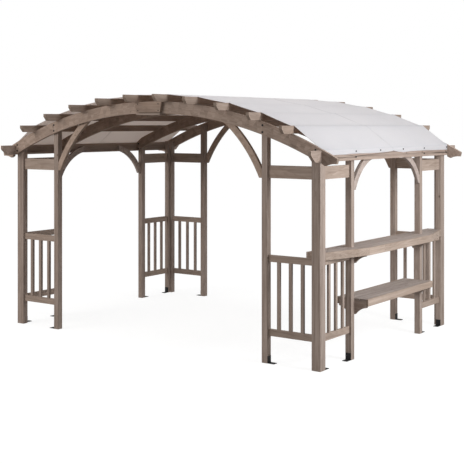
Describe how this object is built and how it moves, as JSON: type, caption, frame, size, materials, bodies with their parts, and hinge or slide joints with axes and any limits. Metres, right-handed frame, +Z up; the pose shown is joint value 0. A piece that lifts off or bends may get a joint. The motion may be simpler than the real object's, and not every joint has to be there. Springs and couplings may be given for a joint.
{
  "type": "garden pergola",
  "caption": "Arched timber garden pergola with a cloth canopy, curved braces, railed corners, and a bar counter and shelf on one side.",
  "frame": {"origin": "on the ground in the middle of the plan", "axes": "+X along the arches towards the counter side, +Y along the purlins towards the rear, +Z up"},
  "size_m": [4.494, 3.252, 2.6302],
  "materials": {
    "wood_posts": "stained, weathered",
    "wood_arches": "stained, weathered",
    "wood_purlins": "stained, weathered",
    "wood_braces": "stained, weathered",
    "wood_rails": "stained, weathered",
    "wood_deck": "stained, weathered",
    "wood_edges": "stained, weathered",
    "canopy_cloth": "matt woven",
    "black_steel": "satin"
  },
  "bodies": {
    "root": {"corner_post_fl": "wood_posts", "corner_strips_fl": "wood_posts", "wing_post_fl": "wood_posts", "side_post_fl": "wood_posts", "corner_post_fr": "wood_posts", "corner_strips_fr": "wood_posts", "wing_post_fr": "wood_posts", "side_post_fr": "wood_posts", "corner_post_rl": "wood_posts", "corner_strips_rl": "wood_posts", "wing_post_rl": "wood_posts", "side_post_rl": "wood_posts", "corner_post_rr": "wood_posts", "corner_strips_rr": "wood_posts", "wing_post_rr": "wood_posts", "side_post_rr": "wood_posts", "arch_front_l": "wood_arches", "arch_front_r": "wood_arches", "arch_rear_l": "wood_arches", "arch_rear_r": "wood_arches", "arch_mid_front_l": "wood_arches", "arch_mid_front_r": "wood_arches", "arch_mid_rear_l": "wood_arches", "arch_mid_rear_r": "wood_arches", "splice_plates": "wood_arches", "eave_beam_l": "wood_purlins", "eave_beam_r": "wood_purlins", "purlins_crown": "wood_purlins", "purlins_second": "wood_purlins", "purlins_third": "wood_purlins", "purlins_fourth": "wood_purlins", "purlins_eave": "wood_purlins", "arch_braces_front": "wood_braces", "arch_braces_rear": "wood_braces", "side_braces_l": "wood_braces", "side_braces_r": "wood_braces", "corbels": "wood_braces", "cross_rails_fl": "wood_rails", "cross_rails_fr": "wood_rails", "cross_rails_rl": "wood_rails", "cross_rails_rr": "wood_rails", "railing_fl": "wood_rails", "railing_fr": "wood_rails", "railing_rl": "wood_rails", "railing_rr": "wood_rails", "balusters_l": "wood_posts", "balusters_r": "wood_posts", "counter_boards": "wood_deck", "counter_edges": "wood_edges", "counter_battens": "wood_rails", "shelf_boards": "wood_deck", "shelf_edges": "wood_edges", "shelf_battens": "wood_rails", "canopy": "canopy_cloth", "canopy_screws": "black_steel", "foot_brackets": "black_steel", "foot_screws": "black_steel", "arch_bolts": "black_steel", "beam_bolts": "black_steel", "splice_screws": "black_steel"}
  },
  "joints": []
}
